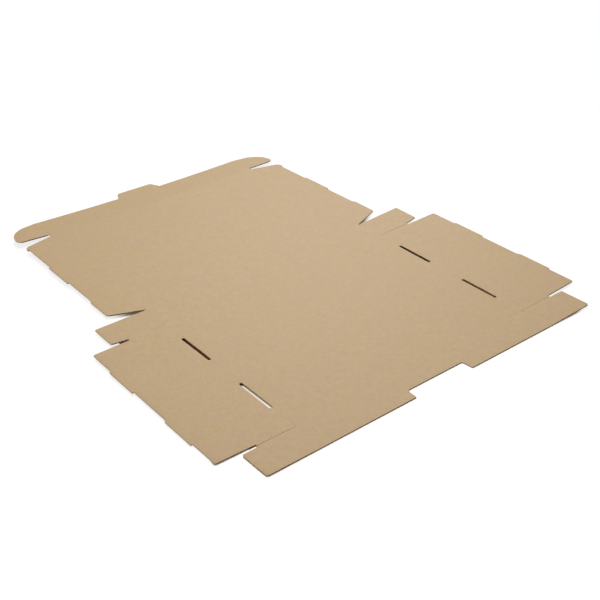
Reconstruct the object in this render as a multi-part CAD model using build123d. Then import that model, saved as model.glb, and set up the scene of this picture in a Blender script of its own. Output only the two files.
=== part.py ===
"""Unfolded mailer box: one die-cut, creased sheet of kraft corrugated board, lying inside face up.

Millimetres, +Z up. The sheet lies as it came off the stack: its front wall is flat on the floor, it
arches a little over its length and comes down again at the tuck flap, whose left ear curls up.
The front edge is at -Y, the tuck flap's tab at +Y, and the origin is under the middle of the outline.
"""
from build123d import *
from dataclasses import dataclass
import os

# Board
board_thickness = 1.6
crease_width = 2.4
crease_depth = 0.5
knife_cut = 0.36
corner_radius = 2.0

# Panels between the creases, front to back
base_width = 351.4
front_wall_height = 45.1
base_depth = 258.0
back_wall_height = 46.0
lid_depth = 259.0
tuck_depth = 50.0

# Finger notch in the front wall, and the tab on the tuck flap that nests in it
notch_mouth = 86.6
notch_floor = 84.8
notch_depth = 15.5
notch_radius = 3.3
notch_mouth_radius = 1.2
tab_foot = 72.6
tab_top = 58.6
tab_length = 16.7
tab_radius = 5.0
tab_foot_radius = 2.0

# Side walls: outer wall, narrow top strip and inner wall, rolled over each other when the box is made
outer_wall_height = 50.6
top_strip = 2.8
inner_wall_height = 46.9
inner_wall_front_taper = 1.2
inner_wall_back_taper = 0.3
slit_gap = 2.2

# Locking teeth of the inner walls, and the slots in the base that take them
lock_pitch = 117.8
lock_shift = 1.35
tooth_length = 54.4
tooth_height = 2.5
tooth_ramp = 4.6
slot_clearance = 4.2
slot_width = 4.2
slot_offset = 0.2

# End flaps of the front and back walls
front_flap_length = 71.1
front_flap_taper = 0.4
front_flap_radius = 3.2
back_flap_length = 72.0
back_flap_front_gap = 1.6
back_flap_front_taper = 4.0
back_flap_rear_gap = 1.5
back_flap_rear_taper = 0.8

# Side flaps of the lid, with the toothed edge that they share with the next blank on the press
lid_flap_length = 44.5
lid_flap_rear_taper = 18.1
lid_flap_rear_radius = 4.0
lid_flap_front_gap = 2.7
lid_flap_front_taper = 11.2
lid_flap_front_radius = 7.5
lid_tooth_pitch = 114.3
lid_tooth_length = 56.2
lid_tooth_middle = 149.6

# Ears of the tuck flap, and how far outside the fold the slits behind them stop
ear_length = 45.3
ear_gap = 4.2
ear_front_taper = 9.6
ear_front_radius = 34.5
ear_rear_radius = 7.5
slit_inset = 2.0

# How the sheet lies: height of its underside over the floor on the middle line at each crease
back_crease_height = 2.9
lid_crease_height = 3.8
lid_front_height = 4.3
tuck_edge_height = 0.7
tab_end_height = 0.5

# Height that the sheet gains from its middle line out to the left and right folds
back_crease_left_rise = 0.8
back_crease_right_rise = 1.0
lid_front_left_rise = 2.0
lid_front_right_rise = -0.5
tuck_edge_left_rise = 5.35
tuck_edge_right_rise = 0.45

# Height that each flap gains from its fold out to its edge, left and right
front_flap_lift = (0.5, 2.3)
side_wall_front_lift = (0.9, 3.1)
side_wall_back_lift = (0.1, 2.1)
back_flap_front_lift = (-0.8, 1.7)
back_flap_rear_lift = (0.0, 2.7)
lid_flap_rear_lift = (0.0, 0.3)
lid_flap_front_lift = (1.5, -0.4)
ear_lift = (2.6, 0.5)

# How far one shape runs into or past another where they are joined or cut
overlap = 1.0

# Places worked out from the sizes
half_width = base_width / 2
front_crease = front_wall_height
back_crease = front_crease + base_depth
lid_crease = back_crease + back_wall_height
lid_front_crease = lid_crease + lid_depth
tuck_edge = lid_front_crease + tuck_depth
sheet_length = tuck_edge + tab_length
strip_start = half_width + outer_wall_height
strip_end = strip_start + top_strip
side_edge = strip_end + inner_wall_height
sheet_reach = side_edge + tooth_height
slit_start = half_width + slit_inset
lock_middle = (front_crease + back_crease) / 2 + lock_shift
lock_places = [lock_middle - lock_pitch / 2, lock_middle + lock_pitch / 2]
camber_stations = [-1, -0.5, 0, 0.5, 1]


def corner(sketch, x, y):
    """The sketch's vertex nearest to a place."""
    return sketch.vertices().sort_by_distance((x, y, 0))[0]


def tooth(edge, low, high):
    """A locking tooth on a straight edge: a square step at its near end and a ramp at its far end."""
    proud = edge + tooth_height
    return make_face(Polyline((edge - overlap, low), (proud, low), (proud, high - tooth_ramp), (edge, high),
                              (edge - overlap, high), close=True))


def front_end_flap():
    """Right end flap of the front wall, parted from the side wall by a knife cut and then a slit."""
    outer = half_width + front_flap_length
    rear = front_crease - slit_gap
    cut = front_crease - knife_cut / 2
    flap = make_face(Polyline((0, 0), (outer, 0), (outer, rear - front_flap_taper), (strip_start, rear),
                              (strip_start, cut), (half_width, cut), (0, cut), close=True))
    flap = fillet(corner(flap, outer, rear), corner_radius)
    return fillet(corner(flap, outer, 0), front_flap_radius)


def side_wall():
    """Right side wall: the rolled-over pair of walls, slightly tapered, with two locking teeth."""
    front_cut = front_crease + knife_cut / 2
    back_cut = back_crease - knife_cut / 2
    front = front_crease + slit_gap
    back = back_crease - slit_gap
    wall = make_face(Polyline((0, front_cut), (strip_start, front_cut), (strip_start, front),
                              (side_edge, front + inner_wall_front_taper),
                              (side_edge, back - inner_wall_back_taper), (strip_start, back),
                              (strip_start, back_cut), (0, back_cut), close=True))
    wall = fillet([corner(wall, side_edge, front), corner(wall, side_edge, back)], corner_radius)
    for place in lock_places:
        wall += tooth(side_edge, place - tooth_length / 2, place + tooth_length / 2)
    return wall


def back_end_flap():
    """Right end flap of the back wall, with its slanted front edge."""
    outer = half_width + back_flap_length
    front = back_crease + back_flap_front_gap
    cut = back_crease + knife_cut / 2
    rear = lid_crease - back_flap_rear_gap
    flap = make_face(Polyline((0, cut), (strip_start, cut), (strip_start, front),
                              (outer, front + back_flap_front_taper), (outer, rear + back_flap_rear_taper),
                              (half_width, rear), (0, rear), close=True))
    return fillet([corner(flap, outer, front), corner(flap, outer, rear)], corner_radius)


def lid_side_flap():
    """Right side flap of the lid: slanted ends, and an outer edge with the press layout's teeth."""
    outer = half_width + lid_flap_length
    rear = lid_crease + lid_flap_rear_taper
    front = lid_front_crease - lid_flap_front_gap
    nose = front - lid_flap_front_taper
    flap = make_face(Polyline((0, lid_crease), (half_width, lid_crease), (outer, rear), (outer, nose),
                              (slit_start, front), (0, front), close=True))
    flap = fillet(corner(flap, outer, rear), lid_flap_rear_radius)
    flap = fillet(corner(flap, outer, nose), lid_flap_front_radius)
    middle = lid_crease + lid_tooth_middle
    for place in [middle - lid_tooth_pitch / 2, middle + lid_tooth_pitch / 2]:
        low = place - (lid_tooth_pitch - lid_tooth_length) / 2
        high = place + (lid_tooth_pitch - lid_tooth_length) / 2
        flap -= make_face(Polyline((outer + overlap, low - tooth_ramp), (outer, low - tooth_ramp),
                                   (outer - tooth_height, low), (outer - tooth_height, high),
                                   (outer + overlap, high), close=True))
    return flap


def tuck_ear():
    """Right ear of the tuck flap: a long sweep at its outer front corner, a tight one behind it."""
    outer = half_width + ear_length
    rear = lid_front_crease + ear_gap
    nose = tuck_edge - ear_front_taper
    ear = make_face(Polyline((0, rear), (outer, rear), (outer, nose), (half_width, tuck_edge), (0, tuck_edge),
                             close=True))
    ear = fillet(corner(ear, outer, nose), ear_front_radius)
    return fillet(corner(ear, outer, rear), ear_rear_radius)


def tuck_tab():
    """The tab at the middle of the tuck flap."""
    tab = make_face(Polyline((-tab_foot / 2, tuck_edge), (tab_foot / 2, tuck_edge),
                             (tab_top / 2, sheet_length), (-tab_top / 2, sheet_length), close=True))
    tops = [corner(tab, side * tab_top / 2, sheet_length) for side in (-1, 1)]
    return fillet(tops, tab_radius)


def finger_notch():
    """The notch cut out of the front edge."""
    notch = make_face(Polyline((-notch_mouth / 2, 0), (notch_mouth / 2, 0), (notch_floor / 2, notch_depth),
                               (-notch_floor / 2, notch_depth), close=True))
    floor_corners = [corner(notch, side * notch_floor / 2, notch_depth) for side in (-1, 1)]
    return fillet(floor_corners, notch_radius)


def die_cut_outline():
    """The whole blank in plan, as the die cuts it."""
    right = front_end_flap() + side_wall() + back_end_flap() + lid_side_flap() + tuck_ear()
    spine = make_face(Polyline((-half_width, 0), (half_width, 0), (half_width, tuck_edge),
                               (-half_width, tuck_edge), close=True))
    slit_width = ear_gap + lid_flap_front_gap
    slit_middle = lid_front_crease + (ear_gap - lid_flap_front_gap) / 2
    neck = Pos(0, slit_middle) * Rectangle(2 * slit_start, slit_width)
    outline = spine + neck + right + mirror(right, Plane.YZ) + tuck_tab()
    outline -= finger_notch()
    for side in (-1, 1):
        for place in lock_places:
            slot = SlotOverall(tooth_length + slot_clearance, slot_width, rotation=90)
            outline -= Pos(side * (half_width + slot_offset), place) * slot
        outline -= (Pos(side * slit_start, slit_middle) * Circle(slit_width / 2)) & neck
    mouths = [corner(outline, side * notch_mouth / 2, 0) for side in (-1, 1)]
    outline = fillet(mouths, notch_mouth_radius)
    feet = [corner(outline, side * tab_foot / 2, tuck_edge) for side in (-1, 1)]
    return fillet(feet, tab_foot_radius)


@dataclass
class Lie:
    """Underside heights across one crease: on the middle line, then what each side gains, left and right."""
    middle: float = 0
    rise: tuple = (0, 0)
    lift: tuple = (0, 0)

    def towards(self, other, share):
        """The lie that is this share of the way to another one."""
        return Lie(self.middle + (other.middle - self.middle) * share,
                   tuple(a + (b - a) * share for a, b in zip(self.rise, other.rise)),
                   tuple(a + (b - a) * share for a, b in zip(self.lift, other.lift)))

    def height(self, x, flap_length):
        """Height at x: one parabola from fold to fold, straight over the flaps."""
        share = max(-half_width, min(x, half_width)) / half_width
        camber = (self.rise[0] + self.rise[1]) / 2
        tilt = (self.rise[1] - self.rise[0]) / 2
        flap_share = max(abs(x) - half_width, 0) / flap_length
        return self.middle + tilt * share + camber * share ** 2 + self.lift[0 if x < 0 else 1] * flap_share


def section(y, lie, flap_length, folds, scored):
    """The board's cross-section at one place along the sheet, with a score under each lengthwise fold."""
    half_score = crease_width / 2
    outer = sheet_reach + overlap
    inner = half_width - half_score

    def under(x, raised):
        return (x, y, lie.height(x, flap_length) + (crease_depth if raised else 0))

    def over(x):
        return (x, y, lie.height(x, flap_length) + board_thickness)

    def score(fold, side, inner_raised):
        places = [(fold - half_score, inner_raised), (fold, True), (fold + half_score, False)]
        return [under(side * x, raised) for x, raised in places]

    sides = {}
    for side in (-1, 1):
        points = score(half_width, side, scored)
        for fold in folds:
            points += score(fold, side, False)
        sides[side] = Polyline(points + [under(side * outer, False), over(side * outer), over(side * half_width)])
    stations = camber_stations if any(lie.rise) else (-1, 1)
    camber = Spline if any(lie.rise) else Line
    below = camber([under(inner * share, scored) for share in stations])
    above = camber([over(half_width * share) for share in stations])
    edges = [edge for part in (sides[-1], below, sides[1], above) for edge in part.edges()]
    return make_face(edges)


def panel(start, end, lies, flap_length, folds=(), scored=(True, True)):
    """One panel with its flaps: the board lofted between two creases, thinned to the score at each."""
    score_share = crease_width / 2 / (end - start)
    stations = [(0, scored[0])]
    if scored[0]:
        stations.append((score_share, False))
    if scored[1]:
        stations.append((1 - score_share, False))
    stations.append((1, scored[1]))
    faces = []
    for share, thinned in stations:
        here = lies[0].towards(lies[1], share)
        faces.append(section(start + (end - start) * share, here, flap_length, folds, thinned))
    return loft(faces, ruled=True)


def creased_board():
    """The sheet's panels, front to back, each with the flaps at its sides."""
    front = Lie(0, lift=front_flap_lift)
    back_crease_rise = (back_crease_left_rise, back_crease_right_rise)
    base = (Lie(0, lift=side_wall_front_lift), Lie(back_crease_height, back_crease_rise, side_wall_back_lift))
    back = (Lie(back_crease_height, back_crease_rise, back_flap_front_lift),
            Lie(lid_crease_height, lift=back_flap_rear_lift))
    lid_front_rise = (lid_front_left_rise, lid_front_right_rise)
    lid = (Lie(lid_crease_height, lift=lid_flap_rear_lift),
           Lie(lid_front_height, lid_front_rise, lid_flap_front_lift))
    tuck_rise = (tuck_edge_left_rise, tuck_edge_right_rise)
    tuck = (Lie(lid_front_height, lid_front_rise, ear_lift), Lie(tuck_edge_height, tuck_rise, ear_lift))
    tab = (tuck[1], Lie(tab_end_height, tuck_rise, ear_lift))
    wall_folds = (strip_start, strip_end)
    return [
        panel(0, front_crease, (front, front), front_flap_length, scored=(False, True)),
        panel(front_crease, back_crease, base, side_edge - half_width, folds=wall_folds),
        panel(back_crease, lid_crease, back, back_flap_length),
        panel(lid_crease, lid_front_crease, lid, lid_flap_length),
        panel(lid_front_crease, tuck_edge, tuck, ear_length, scored=(True, False)),
        panel(tuck_edge, sheet_length, tab, ear_length, scored=(False, False)),
    ]


def box_blank():
    """The blank: each panel cut to the die's outline, then joined at the creases into one sheet."""
    boards = creased_board()
    top = max(board.bounding_box().max.Z for board in boards)
    die = extrude(die_cut_outline(), top + overlap, dir=(0, 0, 1), both=True)
    blank = Part()
    for board in boards:
        blank += board & die
    return Pos(0, -sheet_length / 2, 0) * blank


def main():
    os.makedirs("parts", exist_ok=True)
    export_step(box_blank(), "parts/box_blank.step")


if __name__ == "__main__":
    main()
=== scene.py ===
"""Dresses the unfolded mailer box and lays it on a white table.

The blank is corrugated board, so it is built as the mill makes it: an inside liner, a fluted medium and an
outside liner, all cut through by one die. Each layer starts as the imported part's outline laid flat, is
sliced where it needs edges, and is then lifted to the height at which the part lies.
Lengths are metres. X runs across the blank, Y from the front wall to the tuck flap, Z up.
"""

import logging
import math
from dataclasses import dataclass, field
from enum import Enum
from statistics import median
from typing import Iterable

import bmesh
import bpy
from bmesh.types import BMesh, BMFace, BMVert
from mathutils import Matrix, Vector
from mathutils.bvhtree import BVHTree


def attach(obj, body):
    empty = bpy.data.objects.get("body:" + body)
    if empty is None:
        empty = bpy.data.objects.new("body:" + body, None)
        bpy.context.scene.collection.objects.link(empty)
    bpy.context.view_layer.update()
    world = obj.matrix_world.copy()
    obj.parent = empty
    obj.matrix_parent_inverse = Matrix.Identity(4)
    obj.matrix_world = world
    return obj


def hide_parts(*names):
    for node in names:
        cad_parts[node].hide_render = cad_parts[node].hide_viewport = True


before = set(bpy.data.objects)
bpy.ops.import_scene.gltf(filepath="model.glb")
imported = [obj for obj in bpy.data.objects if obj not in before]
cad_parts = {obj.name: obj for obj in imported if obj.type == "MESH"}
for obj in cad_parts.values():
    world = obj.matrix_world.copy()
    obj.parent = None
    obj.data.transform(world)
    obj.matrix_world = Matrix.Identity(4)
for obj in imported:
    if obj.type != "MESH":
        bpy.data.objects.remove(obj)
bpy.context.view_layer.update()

log = logging.getLogger("mailer_blank")

MM = 0.001
NODE = "box_blank"
BODY = "root"

# Sizes that more than one layer of the board goes by
LINER_PAPER = 0.22 * MM
FLUTE_PITCH = 3.3 * MM
CELL = 12 * MM

# The least gap between two cuts, and how near a point counts as on a cut
LEAST_GAP = 0.2 * MM
ON_CUT = 1e-7

Colour = tuple[float, float, float]
Span = tuple[float, float]
Socket = bpy.types.NodeSocket
Value = Socket | float | tuple[float, ...]

WHITE: Colour = (1, 1, 1)


class Side(Enum):
    """The two faces of the board, by the way that each one looks."""

    INSIDE = 1
    OUTSIDE = -1


class Axis(Enum):
    """The directions that the blank is sliced across."""

    ACROSS = 0
    ALONG = 1

    @property
    def direction(self) -> Vector:
        """The unit vector of this direction."""
        return Vector((1, 0, 0)) if self is Axis.ACROSS else Vector((0, 1, 0))


def slice_at(mesh: BMesh, faces: list[BMFace], axis: Axis, stations: list[float]) -> None:
    """Cuts a flat sheet along straight lines, by halves, so that each cut meets only the faces near it.

    Args:
        mesh: The sheet.
        faces: The faces of it that the lines may cross.
        axis: The direction that the stations are measured in.
        stations: The places of the cuts, in rising order.
    """
    if not stations or not faces:
        return
    middle = len(stations) // 2
    place = stations[middle]
    touched = {vert for face in faces for vert in face.verts}
    touched |= {edge for face in faces for edge in face.edges}
    cut = bmesh.ops.bisect_plane(mesh, geom=list(touched) + faces, dist=ON_CUT,
                                 plane_co=axis.direction * place, plane_no=axis.direction)
    pieces = [part for part in cut["geom"] if isinstance(part, BMFace)]
    below = [face for face in pieces if face.calc_center_bounds()[axis.value] < place]
    above = [face for face in pieces if face.calc_center_bounds()[axis.value] >= place]
    slice_at(mesh, below, axis, stations[:middle])
    slice_at(mesh, above, axis, stations[middle + 1:])


def spaced(low: float, high: float, step: float) -> list[float]:
    """Whole multiples of a step that lie between two places.

    Args:
        low: The lowest place.
        high: The highest place.
        step: The distance between neighbours.

    Returns:
        The places in rising order.
    """
    return [index * step for index in range(math.ceil(low / step), math.floor(high / step) + 1)]


def merged(places: Iterable[float], least_gap: float) -> list[float]:
    """Places in rising order, with any that crowds the one before it left out.

    Args:
        places: The places, in any order.
        least_gap: The least distance between neighbours.

    Returns:
        The places that are kept.
    """
    kept: list[float] = []
    for place in sorted(places):
        if not kept or place - kept[-1] > least_gap:
            kept.append(place)
    return kept


@dataclass
class DieCutBlank:
    """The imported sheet, read as an outline in plan, the heights of its two faces and its crease lines.

    A face looks up, down or across when that part of its normal is over `level`, and is a straight cut along
    the flutes when it is over `straight`. A score is a hollow edge of more than `fold_angle`. A ray that just
    misses the outline is sent again a `nudge` to each side.
    """

    source: bpy.types.Object
    weld: float = 0.001 * MM
    level: float = 0.5
    straight: float = 0.995
    fold_angle: float = math.radians(20)
    flat_angle: float = math.radians(0.2)
    crease_gap: float = 1.0 * MM
    nudge: float = 0.01 * MM
    surfaces: dict[Side, BVHTree] = field(init=False)
    sides: BVHTree = field(init=False)
    thickness: float = field(init=False)
    creases: dict[Axis, list[float]] = field(init=False)
    side_lines: list[tuple[float, int]] = field(init=False)

    def __post_init__(self) -> None:
        """Reads the surfaces, the cut sides, the board's thickness and the creases from the solid."""
        self.surfaces = {}
        for side in Side:
            face = self._face(side)
            self.surfaces[side] = BVHTree.FromBMesh(face)
            face.free()
        solid = self._solid()
        self.creases = self._find_creases(solid)
        self.thickness = median(self._gap(vert.co.x, vert.co.y) for vert in solid.verts)
        rest = [face for face in solid.faces if abs(face.normal.x) < self.level]
        bmesh.ops.delete(solid, geom=rest, context="FACES")
        self.sides = BVHTree.FromBMesh(solid)
        self.side_lines = self._find_side_lines(solid)
        solid.free()

    def _solid(self) -> BMesh:
        """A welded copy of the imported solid.

        Returns:
            A new closed mesh.
        """
        solid = bmesh.new()
        solid.from_mesh(self.source.data)
        bmesh.ops.remove_doubles(solid, verts=solid.verts, dist=self.weld)
        solid.normal_update()
        return solid

    def _face(self, side: Side) -> BMesh:
        """The part of the solid's skin that looks up or down.

        Args:
            side: The face of the board.

        Returns:
            A new open mesh.
        """
        skin = self._solid()
        rest = [face for face in skin.faces if face.normal.z * side.value < self.level]
        bmesh.ops.delete(skin, geom=rest, context="FACES")
        return skin

    def _find_creases(self, solid: BMesh) -> dict[Axis, list[float]]:
        """The lines at which the outside face is scored.

        Args:
            solid: The welded solid.

        Returns:
            The places of the score lines, by the direction that they are measured in.
        """
        found: dict[Axis, list[float]] = {axis: [] for axis in Axis}
        for edge in solid.edges:
            if any(face.normal.z > -self.level for face in edge.link_faces):
                continue
            if abs(edge.calc_face_angle(0)) < self.fold_angle or edge.is_convex:
                continue
            run = edge.verts[1].co - edge.verts[0].co
            axis = Axis.ACROSS if abs(run.y) > abs(run.x) else Axis.ALONG
            found[axis].append(edge.verts[0].co[axis.value])
        return {axis: merged(places, self.crease_gap) for axis, places in found.items()}

    def _find_side_lines(self, sides: BMesh) -> list[tuple[float, int]]:
        """The lines on which the die cuts along the flutes.

        Args:
            sides: The cut sides that look across the blank.

        Returns:
            The place of each line across the blank and the way that its side looks, 1 or -1.
        """
        straight = [face for face in sides.faces if abs(face.normal.x) > self.straight]
        found = []
        for way in (1, -1):
            places = [face.verts[0].co.x for face in straight if face.normal.x * way > 0]
            found += [(place, way) for place in merged(places, LEAST_GAP)]
        return found

    def plan(self) -> BMesh:
        """The outline laid flat at height zero, in the fewest faces that it takes.

        Returns:
            A new flat mesh.
        """
        flat = self._face(Side.INSIDE)
        bmesh.ops.scale(flat, vec=Vector((1, 1, 0)), verts=flat.verts)
        bmesh.ops.dissolve_limit(flat, angle_limit=self.flat_angle, use_dissolve_boundaries=False,
                                 verts=flat.verts, edges=flat.edges)
        return flat

    def height(self, side: Side, x: float, y: float) -> float:
        """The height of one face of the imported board.

        Args:
            side: The face of the board.
            x: Place across the blank.
            y: Place along the blank.

        Returns:
            The height over the table.
        """
        down = Vector((0, 0, -side.value))
        steps = [(0, 0)] + [(a * self.nudge, b * self.nudge) for a in (-1, 1) for b in (-1, 1)]
        for across, along in steps:
            start = Vector((x + across, y + along, 0)) - down
            hit = self.surfaces[side].ray_cast(start, down)[0]
            if hit is not None:
                return hit.z
        return self.surfaces[side].find_nearest(Vector((x, y, 0)))[0].z

    def _gap(self, x: float, y: float) -> float:
        """The board's thickness at one place."""
        return self.height(Side.INSIDE, x, y) - self.height(Side.OUTSIDE, x, y)

    def score_depth(self, x: float, y: float) -> float:
        """How much of the board's thickness the scores take away at one place."""
        return max(self.thickness - self._gap(x, y), 0)

    def side_distance(self, place: Vector, reach: float) -> float:
        """How far a place is from the nearest cut that runs along the flutes, up to a reach."""
        distance = self.sides.find_nearest(place, reach)[3]
        return reach if distance is None else distance


@dataclass(frozen=True)
class Crushing:
    """How the die shapes the board.

    A crease rule leaves a rounded valley outside and a faint dent inside. A cut along the flutes pinches the
    board's edge, because no flute holds the two liners apart there. Each slope of either has `rungs` cuts.
    """

    reach: float = 1.2 * MM
    depth: float = 0.5 * MM
    inside_share: float = 0.04
    rungs: int = 3
    pinch_reach: float = 2.0 * MM
    pinch_depth: float = 0.32 * MM
    pinch_curve: int = 2

    def stations(self, lines: list[float]) -> list[float]:
        """The cuts that give each score line its rounded section.

        Args:
            lines: The middle of each score.

        Returns:
            Places on both sides of each line.
        """
        shares = [rung / self.rungs for rung in range(-self.rungs, self.rungs + 1)]
        return [line + share * self.reach for line in lines for share in shares]

    def valley(self, thinned: float) -> float:
        """The depth of the rounded valley where the plain score has another depth.

        Args:
            thinned: The depth of the plain score.

        Returns:
            The depth of the valley in the outside liner.
        """
        share = min(thinned / self.depth, 1)
        return self.depth * (1 - math.cos(math.pi * share)) / 2

    def pinch_stations(self, lines: list[tuple[float, int]]) -> list[float]:
        """The cuts that give each pinched edge its slope.

        Args:
            lines: The place of each cut side across the blank, and the way that it looks.

        Returns:
            Places on the board's side of each line.
        """
        shares = [rung / self.rungs for rung in range(1, self.rungs + 1)]
        return [line - way * share * self.pinch_reach for line, way in lines for share in shares]

    def pinch(self, distance: float) -> float:
        """How far each liner is pressed in at some distance from a cut along the flutes."""
        return self.pinch_depth * (1 - min(distance / self.pinch_reach, 1)) ** self.pinch_curve


@dataclass
class Layer:
    """One paper layer of the board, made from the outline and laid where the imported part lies."""

    blank: DieCutBlank
    crushing: Crushing
    name: str
    paper: float = LINER_PAPER
    sharp_angle: float = math.radians(40)

    def lie(self, x: float, y: float) -> tuple[float, float]:
        """The heights of the board's outside and inside faces at one place, as the die leaves them.

        Args:
            x: Place across the blank.
            y: Place along the blank.

        Returns:
            The height of the outside face, then that of the inside face.
        """
        valley = self.crushing.valley(self.blank.score_depth(x, y))
        top = self.blank.height(Side.INSIDE, x, y)
        middle = Vector((x, y, top - self.blank.thickness / 2))
        pinch = self.crushing.pinch(self.blank.side_distance(middle, self.crushing.pinch_reach))
        outside = top - self.blank.thickness + valley + pinch
        return outside, top - valley * self.crushing.inside_share - pinch

    @staticmethod
    def thicken(flat: BMesh) -> tuple[list[BMVert], list[BMVert]]:
        """Makes the sliced outline a closed sheet.

        Args:
            flat: The outline, sliced.

        Returns:
            The points of its upper skin and those of its lower skin.
        """
        upper = flat.verts[:]
        copied = bmesh.ops.extrude_face_region(flat, geom=flat.faces[:], use_keep_orig=True)["geom"]
        lower = [part for part in copied if isinstance(part, BMVert)]
        return upper, lower

    def finish(self, mesh: BMesh, material: bpy.types.Material) -> bpy.types.Object:
        """Turns the mesh into a piece that rides with the part and stands for it.

        Args:
            mesh: The closed layer.
            material: Its finish.

        Returns:
            The piece.
        """
        bmesh.ops.recalc_face_normals(mesh, faces=mesh.faces)
        for face in mesh.faces:
            face.smooth = True
        data = bpy.data.meshes.new(self.name)
        mesh.to_mesh(data)
        mesh.free()
        data.set_sharp_from_angle(angle=self.sharp_angle)
        data.materials.append(material)
        piece = bpy.data.objects.new(self.name, data)
        bpy.context.scene.collection.objects.link(piece)
        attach(piece, BODY)
        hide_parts(NODE)
        return piece


@dataclass
class Liner(Layer):
    """One face of the board: a sheet of kraft paper glued to the tips of the flutes."""

    side: Side = Side.INSIDE
    step: float = CELL

    def build(self, material: bpy.types.Material) -> bpy.types.Object:
        """Builds the liner.

        Args:
            material: Its finish.

        Returns:
            The finished piece.
        """
        mesh = self.blank.plan()
        for axis in Axis:
            low = min(vert.co[axis.value] for vert in mesh.verts)
            high = max(vert.co[axis.value] for vert in mesh.verts)
            shaped = self.crushing.stations(self.blank.creases[axis])
            if axis is Axis.ACROSS:
                shaped += self.crushing.pinch_stations(self.blank.side_lines)
            slice_at(mesh, mesh.faces[:], axis, merged(shaped + spaced(low, high, self.step), LEAST_GAP))
        upper, lower = self.thicken(mesh)
        shift = self.paper if self.side is Side.OUTSIDE else 0
        for skin, rise in ((upper, shift), (lower, shift - self.paper)):
            for vert in skin:
                outside, inside = self.lie(vert.co.x, vert.co.y)
                vert.co.z = (inside if self.side is Side.INSIDE else outside) + rise
        return self.finish(mesh, material)


@dataclass
class FlutedMedium(Layer):
    """The wavy paper between the liners. Its flutes run from the front wall to the tuck flap.

    Each flute has `steps` facets. Behind the last crease the sheet dips at the tab, and the medium has the
    liners' rows there, so that it stays between them.
    """

    liner: float = LINER_PAPER
    pitch: float = FLUTE_PITCH
    steps: int = 7
    row: float = CELL
    glue: float = 0.01 * MM

    def build(self, material: bpy.types.Material) -> bpy.types.Object:
        """Builds the medium.

        Args:
            material: Its finish.

        Returns:
            The finished piece.
        """
        mesh = self.blank.plan()
        low = min(vert.co.x for vert in mesh.verts)
        high = max(vert.co.x for vert in mesh.verts)
        creases = self.blank.creases[Axis.ALONG]
        back = max(vert.co.y for vert in mesh.verts)
        rows = self.crushing.stations(creases) + spaced(creases[-1], back, self.row)
        slice_at(mesh, mesh.faces[:], Axis.ALONG, merged(rows, LEAST_GAP))
        slice_at(mesh, mesh.faces[:], Axis.ACROSS, spaced(low, high, self.pitch / self.steps))
        upper, lower = self.thicken(mesh)
        for skin, share in ((upper, 0.5), (lower, -0.5)):
            for vert in skin:
                vert.co.z = self.wave(vert.co.x, vert.co.y, share)
        return self.finish(mesh, material)

    def wave(self, x: float, y: float, share: float) -> float:
        """The height of the medium at one place.

        Args:
            x: Place across the blank.
            y: Place along the blank.
            share: Which skin: half the paper's thickness above or below its middle.

        Returns:
            The height over the table.
        """
        outside, inside = self.lie(x, y)
        room = inside - outside - 2 * self.liner - self.paper + 2 * self.glue
        turn = 2 * math.pi / self.pitch
        slope = turn * room / 2 * math.cos(turn * x)
        middle = (inside + outside) / 2 + room / 2 * math.sin(turn * x)
        return middle + share * self.paper * math.hypot(1, slope)


@dataclass(frozen=True)
class Grain:
    """One layer of soft noise.

    Its grains have a length along each axis, `detail` finer layers of strength `rough`, and an `offset` that
    keeps it apart from the other layers. `share` is how much it counts in the paper's tone.
    """

    stretch: tuple[float, float, float]
    detail: float
    rough: float = 0.5
    offset: float = 0
    share: float = 0


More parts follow.
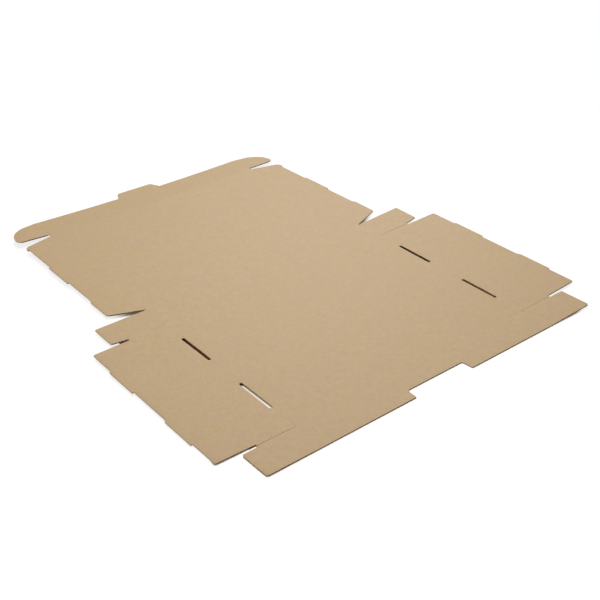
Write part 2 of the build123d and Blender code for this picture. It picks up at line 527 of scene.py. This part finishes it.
class Shader:
    """A material's node tree, with short calls that add nodes and join them."""

    def __init__(self, name: str) -> None:
        """Starts a material with a plain surface shader.

        Args:
            name: The material's name.
        """
        self.material = bpy.data.materials.new(name)
        self.material.use_nodes = True
        self.tree = self.material.node_tree
        self.surface = self.tree.nodes["Principled BSDF"]
        self.place = self.node("ShaderNodeTexCoord").outputs["Object"]
        parts = self.node("ShaderNodeSeparateXYZ")
        self.feed(self.place, parts.inputs[0])
        self.across, self.along = parts.outputs["X"], parts.outputs["Y"]

    def node(self, kind: str, **settings: object) -> bpy.types.Node:
        """A new node with some of its settings changed.

        Args:
            kind: The node's type.
            **settings: Attributes of the node.

        Returns:
            The node.
        """
        made = self.tree.nodes.new(kind)
        for name, value in settings.items():
            setattr(made, name, value)
        return made

    def feed(self, value: Value, socket: Socket) -> None:
        """Joins an output to an input, or sets the input to a plain value.

        Args:
            value: An output socket, a number or a colour.
            socket: The input.
        """
        if isinstance(value, Socket):
            self.tree.links.new(value, socket)
        else:
            socket.default_value = value

    def math(self, operation: str, *values: Value) -> Socket:
        """The result of one step of arithmetic.

        Args:
            operation: The name of the operation.
            *values: Outputs or numbers.

        Returns:
            The output.
        """
        step = self.node("ShaderNodeMath", operation=operation)
        for value, socket in zip(values, step.inputs):
            self.feed(value, socket)
        return step.outputs[0]

    def noise(self, grain: Grain) -> Socket:
        """Soft noise.

        Args:
            grain: Its size and fineness.

        Returns:
            A value about 0.5.
        """
        mapping = self.node("ShaderNodeMapping")
        self.feed(self.place, mapping.inputs["Vector"])
        mapping.inputs["Scale"].default_value = [1 / size for size in grain.stretch]
        mapping.inputs["Location"].default_value = [grain.offset] * 3
        texture = self.node("ShaderNodeTexNoise")
        self.feed(mapping.outputs[0], texture.inputs["Vector"])
        texture.inputs["Scale"].default_value = 1
        texture.inputs["Detail"].default_value = grain.detail
        texture.inputs["Roughness"].default_value = grain.rough
        return texture.outputs["Fac"]

    def rise(self, value: Socket, span: Span, top: float = 1) -> Socket:
        """A smooth step from 0 up to a top.

        Args:
            value: The value.
            span: Where the step starts and ends.
            top: The height that it reaches.

        Returns:
            The output.
        """
        step = self.node("ShaderNodeMapRange", interpolation_type="SMOOTHSTEP")
        for given, socket in zip((value, *span, 0, top), step.inputs):
            self.feed(given, socket)
        return step.outputs[0]

    def mix(self, share: Value, first: Value, second: Value) -> Socket:
        """Two colours mixed.

        Args:
            share: How much of the second one.
            first: A colour or an output.
            second: A colour or an output.

        Returns:
            The output.
        """
        step = self.node("ShaderNodeMix", data_type="RGBA")
        colours = [socket for socket in step.inputs if socket.type == "RGBA"]
        self.feed(share, step.inputs[0])
        self.feed(first, colours[0])
        self.feed(second, colours[1])
        return next(socket for socket in step.outputs if socket.type == "RGBA")

    def bump(self, height: Socket, distance: float) -> None:
        """Gives the surface shader a relief.

        Args:
            height: A value from 0 to 1.
            distance: What 1 stands for, in metres.
        """
        relief = self.node("ShaderNodeBump")
        relief.inputs["Distance"].default_value = distance
        self.feed(height, relief.inputs["Height"])
        self.feed(relief.outputs[0], self.surface.inputs["Normal"])


def shaded(colour: Colour, factor: float = 1, tint: Colour = WHITE) -> tuple[float, float, float, float]:
    """A colour made lighter, darker or tinted, with its alpha.

    Args:
        colour: Linear red, green and blue.
        factor: What all three are multiplied by.
        tint: What each is multiplied by.

    Returns:
        The four numbers that a colour socket takes.
    """
    red, green, blue = (part * factor * share for part, share in zip(colour, tint))
    return (red, green, blue, 1)


@dataclass(frozen=True)
class KraftPaper:
    """Brown kraft paper with faint clouds and mottling, fibres and a few dark specks.

    Clouds, mottling and fibres make the tone, and the flutes add painted shade to it, a little darker in the
    washboard's troughs.
    It runs from the plain colour to one mixed with a share of `contrast` of the `darkest` shade. A wider
    noise turns it between a yellow and a pink tint.
    """

    name: str
    colour: Colour = (0.54, 0.391, 0.227)
    yellow: Colour = (1.004, 1.008, 0.966)
    pink: Colour = (1.006, 0.99, 1.034)
    contrast: float = 0.18
    roughness: float = 0.5
    gloss: float = 0.1
    relief: float = 0.02 * MM
    flute_pitch: float = FLUTE_PITCH
    flute_shade_share: float = 0.02
    flute_relief: float = 0.15
    cloud: Grain = Grain((9 * MM, 8 * MM, 9 * MM), detail=3, rough=0.6, share=0.26)
    mottle: Grain = Grain((3.8 * MM, 4.4 * MM, 3.8 * MM), detail=1, offset=9, share=0.34)
    fibre: Grain = Grain((1.9 * MM, 0.7 * MM, 1.9 * MM), detail=3, rough=0.7, offset=13, share=0.38)
    tint: Grain = Grain((14 * MM, 12 * MM, 14 * MM), detail=3, rough=0.6, offset=4)
    fleck: Grain = Grain((1.1 * MM, 0.5 * MM, 1.1 * MM), detail=1, offset=21)
    tone_span: Span = (0.25, 0.75)
    tint_span: Span = (0.35, 0.65)
    fleck_span: Span = (0.74, 0.8)
    fleck_share: float = 0.35
    fleck_shade: float = 0.35
    darkest: float = 0.25

    def material(self) -> bpy.types.Material:
        """Makes the finish.

        Returns:
            The material.
        """
        paper = Shader(self.name)
        fibre = paper.noise(self.fibre)
        flute = self._flutes(paper)
        tone = paper.math("MULTIPLY", paper.noise(self.cloud), self.cloud.share)
        tone = paper.math("MULTIPLY_ADD", paper.noise(self.mottle), self.mottle.share, tone)
        tone = paper.math("MULTIPLY_ADD", fibre, self.fibre.share, tone)
        # Painted shade: the flute wave makes the washboard's troughs a little darker in the tone, beside the
        # bump that gives its relief
        tone = paper.math("MULTIPLY_ADD", flute, self.flute_shade_share, tone)
        yellow, pink = shaded(self.colour, tint=self.yellow), shaded(self.colour, tint=self.pink)
        light = paper.mix(paper.rise(paper.noise(self.tint), self.tint_span), yellow, pink)
        dark = paper.mix(self.contrast, light, shaded(self.colour, self.darkest))
        body = paper.mix(paper.rise(tone, self.tone_span), dark, light)
        specks = paper.rise(paper.noise(self.fleck), self.fleck_span, self.fleck_share)
        speckled = paper.mix(specks, body, shaded(self.colour, self.fleck_shade))
        paper.feed(speckled, paper.surface.inputs["Base Color"])
        paper.surface.inputs["Roughness"].default_value = self.roughness
        paper.surface.inputs["Specular IOR Level"].default_value = self.gloss
        rough = paper.math("MULTIPLY", fibre, 1 - self.flute_relief)
        paper.bump(paper.math("MULTIPLY_ADD", flute, self.flute_relief, rough), self.relief)
        return paper.material

    def _flutes(self, paper: Shader) -> Socket:
        """The faint washboard that the flutes leave in a liner.

        Args:
            paper: The material's node tree.

        Returns:
            A wave from 0 to 1 across the blank.
        """
        wave = paper.math("SINE", paper.math("MULTIPLY", paper.across, 2 * math.pi / self.flute_pitch))
        return paper.math("MULTIPLY_ADD", wave, 0.5, 0.5)


@dataclass
class CorrugatedBoard:
    """The whole board: two liners, the fluted medium between them and the finish of each."""

    blank: DieCutBlank
    crushing: Crushing = Crushing()
    medium_paper: float = 0.18 * MM
    inside: KraftPaper = KraftPaper("kraft_inside")
    outside: KraftPaper = KraftPaper("kraft_outside", colour=(0.54, 0.388, 0.232))
    fluting: KraftPaper = KraftPaper("kraft_fluting", colour=(0.52, 0.37, 0.22), contrast=0.32)

    def build(self) -> list[bpy.types.Object]:
        """Builds and dresses the three layers.

        Returns:
            The finished pieces.
        """
        over = Liner(self.blank, self.crushing, "inside_liner", side=Side.INSIDE)
        under = Liner(self.blank, self.crushing, "outside_liner", side=Side.OUTSIDE)
        medium = FlutedMedium(self.blank, self.crushing, "fluted_medium", paper=self.medium_paper)
        layers = ((over, self.inside), (under, self.outside), (medium, self.fluting))
        return [layer.build(finish.material()) for layer, finish in layers]


@dataclass(frozen=True)
class SoftBox:
    """A square lamp with an even face."""

    name: str
    place: tuple[float, float, float]
    aim: tuple[float, float, float]
    size: float
    power: float
    reflected: bool = True

    def hang(self) -> None:
        """Puts the lamp in the scene."""
        data = bpy.data.lights.new(self.name, type="AREA")
        data.shape = "SQUARE"
        data.size = self.size
        data.energy = self.power
        lamp = bpy.data.objects.new(self.name, data)
        lamp.visible_glossy = self.reflected
        lamp.location = self.place
        lamp.rotation_euler = (Vector(self.aim) - Vector(self.place)).to_track_quat("-Z", "Y").to_euler()
        bpy.context.scene.collection.objects.link(lamp)


@dataclass(frozen=True)
class PaintedShadeAndLightPatch:
    """A rectangle of the table under the blank, seen through a slot or a slit. Its colour is painted shade,
    and in the pale one painted light.
    """

    across: Span
    along: Span
    colour: Colour

    def cover(self, paint: Shader) -> Socket:
        """Where the rectangle lies.

        Args:
            paint: The material's node tree.

        Returns:
            1 inside and 0 outside.
        """
        inside = paint.math("GREATER_THAN", paint.across, self.across[0])
        for limit in (paint.math("LESS_THAN", paint.across, self.across[1]),
                      paint.math("GREATER_THAN", paint.along, self.along[0]),
                      paint.math("LESS_THAN", paint.along, self.along[1])):
            inside = paint.math("MULTIPLY", inside, limit)
        return inside


@dataclass(frozen=True)
class Table:
    """A white table top that the camera sees as pure white, down to the shadows close beside the blank.

    It is seen brightest beside the side edges, behind the lid and far off, where its glow is painted light
    that hides the blank's shadow. Under the base it keeps a painted deep brown shade, which shows through the
    slots, and painted light under the front left slot. The slits before both left flaps end in painted brown
    shade too.
    """

    size: float = 8.0
    drop: float = 0.1 * MM
    white: float = 0.8
    seen_white: Colour = (1.37, 1.31, 1.28)
    glow: float = 0.03
    side_glow: float = 0.78
    glow_side: Span = (0.19, 0.216)
    glow_front: Span = (-0.3, -0.29)
    glow_lean: float = 0.05
    glow_corner: Span = (0.222, 0.238)
    glow_back: Span = (0.15, 0.2)
    glow_far: Span = (0.46, 0.8)
    painted_patches: tuple[PaintedShadeAndLightPatch, ...] = (
        # Painted shade under the base, painted light under the front left slot, and painted shade at the
        # inner ends of two left slits
        PaintedShadeAndLightPatch(across=(-0.2, 0.186), along=(-0.28, -0.04), colour=(0.27, 0.14, 0.08)),
        PaintedShadeAndLightPatch(across=(-0.2, 0.0), along=(-0.28, -0.1945), colour=(1.09, 1.01, 0.94)),
        PaintedShadeAndLightPatch(across=(-0.236, -0.19), along=(-0.045, -0.02), colour=(0.27, 0.14, 0.08)),
        PaintedShadeAndLightPatch(across=(-0.235, -0.222), along=(-0.2905, -0.286), colour=(0.2, 0.1, 0.06)),
    )

    def build(self) -> None:
        """Builds the table top."""
        mesh = bmesh.new()
        bmesh.ops.create_grid(mesh, x_segments=1, y_segments=1, size=self.size / 2)
        bmesh.ops.translate(mesh, verts=mesh.verts, vec=Vector((0, 0, -self.drop)))
        data = bpy.data.meshes.new("table_top")
        mesh.to_mesh(data)
        mesh.free()
        data.materials.append(self._paint())
        top = bpy.data.objects.new("table_top", data)
        bpy.context.scene.collection.objects.link(top)

    def _paint(self) -> bpy.types.Material:
        """White paint that is brighter to the camera than to the object.

        Returns:
            The material.
        """
        paint = Shader("table_white")
        seen = self._seen(paint)
        colour: Value = shaded(self.seen_white)
        strength = self._glow_strength(paint)
        # The patches put painted shade, and in one place painted light, in place of the camera's white and
        # the glow
        for patch in self.painted_patches:
            cover = patch.cover(paint)
            colour = paint.mix(cover, colour, shaded(patch.colour))
            strength = paint.math("MULTIPLY", strength, paint.math("SUBTRACT", 1.0, cover))
        matt = paint.node("ShaderNodeBsdfDiffuse")
        paint.feed(paint.mix(seen, shaded(WHITE, self.white), colour), matt.inputs["Color"])
        glow = paint.node("ShaderNodeEmission")
        both = paint.node("ShaderNodeMixShader")
        paint.feed(paint.math("MULTIPLY", strength, seen), both.inputs[0])
        paint.feed(matt.outputs[0], both.inputs[1])
        paint.feed(glow.outputs[0], both.inputs[2])
        paint.feed(both.outputs[0], paint.tree.nodes["Material Output"].inputs["Surface"])
        paint.tree.nodes.remove(paint.surface)
        return paint.material

    def _seen(self, paint: Shader) -> Socket:
        """Which rays see the table and aren't lit by it.

        Args:
            paint: The material's node tree.

        Returns:
            1 for the camera's rays, reflections and what shows through glass, and 0 for the rest.
        """
        rays = paint.node("ShaderNodeLightPath")
        seen = paint.math("MAXIMUM", rays.outputs["Is Camera Ray"], rays.outputs["Is Glossy Ray"])
        return paint.math("MAXIMUM", seen, rays.outputs["Is Transmission Ray"])

    def _glow_strength(self, paint: Shader) -> Socket:
        """How much of the table's own white hides the shadow on it.

        Args:
            paint: The material's node tree.

        Returns:
            A share from 0 to 1, high beside the side edges, behind the lid and far off.
        """
        leaning = paint.math("MULTIPLY_ADD", paint.across, self.glow_lean, paint.along)
        corner = paint.rise(paint.across, self.glow_corner)
        behind_front = paint.math("MAXIMUM", paint.rise(leaning, self.glow_front), corner)
        side = paint.rise(paint.math("ABSOLUTE", paint.across), self.glow_side)
        side = paint.math("MULTIPLY", side, behind_front)
        beside = paint.math("MAXIMUM", side, paint.rise(paint.along, self.glow_back))
        near = paint.math("MULTIPLY_ADD", beside, self.side_glow, self.glow)
        reach = paint.node("ShaderNodeVectorMath", operation="LENGTH")
        paint.feed(paint.place, reach.inputs[0])
        return paint.math("MAXIMUM", near, paint.rise(reach.outputs["Value"], self.glow_far))


@dataclass
class Studio:
    """The white table, two soft lamps and an even sky, which the camera sees as white."""

    sky: float = 0.24
    table: Table = Table()
    lamps: tuple[SoftBox, ...] = (
        SoftBox("overhead", place=(-0.07, -0.04, 1.3), aim=(0, 0, 0), size=1.0, power=11.8, reflected=False),
        SoftBox("back_right", place=(1.25, 1.35, 1.25), aim=(0.1, 0.1, 0), size=1.1, power=22.0),
    )

    def set_up(self) -> None:
        """Lays the table, hangs the lamps and sets the sky."""
        self.table.build()
        for lamp in self.lamps:
            lamp.hang()
        self._set_sky()
        log.info("table laid, %d lamps hung", len(self.lamps))

    def _set_sky(self) -> None:
        """Makes an even sky that is white to the camera and leaves the paper's gloss to the lamps."""
        world = bpy.data.worlds.new("sky")
        world.use_nodes = True
        tree = world.node_tree
        background = tree.nodes["Background"]
        background.inputs["Color"].default_value = shaded(WHITE)
        rays = tree.nodes.new("ShaderNodeLightPath")
        seen = tree.nodes.new("ShaderNodeMath")
        seen.operation = "MAXIMUM"
        seen.inputs[0].default_value = self.sky
        tree.links.new(rays.outputs["Is Camera Ray"], seen.inputs[1])
        tree.links.new(seen.outputs[0], background.inputs["Strength"])
        bpy.context.scene.world = world
        world.cycles_visibility.glossy = False


@dataclass(frozen=True)
class PhotoCamera:
    """The camera at the place from which the blank is seen, in degrees and metres."""

    azimuth: float = -37.1468
    elevation: float = 30.9613
    roll: float = -2.1042
    distance: float = 1.343980
    target: tuple[float, float, float] = (-0.010808, -0.090500, 0)
    lens: float = 63.8294
    sensor: float = 36

    def place(self) -> None:
        """Puts the camera in the scene and makes it the one that renders."""
        turn, rise, roll = (math.radians(angle) for angle in (self.azimuth, self.elevation, self.roll))
        back = Vector((math.sin(turn) * math.cos(rise), -math.cos(turn) * math.cos(rise), math.sin(rise)))
        right = Vector((0, 0, 1)).cross(back).normalized()
        up = back.cross(right)
        level = Matrix((right, up, back)).transposed()
        facing = level @ Matrix.Rotation(roll, 3, "Z")
        data = bpy.data.cameras.new("photo_camera")
        data.lens = self.lens
        data.sensor_width = self.sensor
        camera = bpy.data.objects.new("photo_camera", data)
        camera.matrix_world = Matrix.Translation(Vector(self.target) + back * self.distance) @ facing.to_4x4()
        bpy.context.scene.collection.objects.link(camera)
        bpy.context.scene.camera = camera


def triangles(piece: bpy.types.Object) -> int:
    """How many triangles a piece has."""
    return sum(len(face.vertices) - 2 for face in piece.data.polygons)


def main() -> None:
    """Builds the board's three layers, then the table, the light and the camera."""
    logging.basicConfig(level=logging.INFO, format="%(message)s")
    blank = DieCutBlank(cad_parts[NODE])
    log.info("board %.2f mm thick, creases at %s", blank.thickness / MM, blank.creases)
    for piece in CorrugatedBoard(blank).build():
        log.info("%s: %d triangles", piece.name, triangles(piece))
    Studio().set_up()
    PhotoCamera().place()
    bpy.context.scene.view_settings.view_transform = "Standard"


if __name__ == "__main__":
    main()
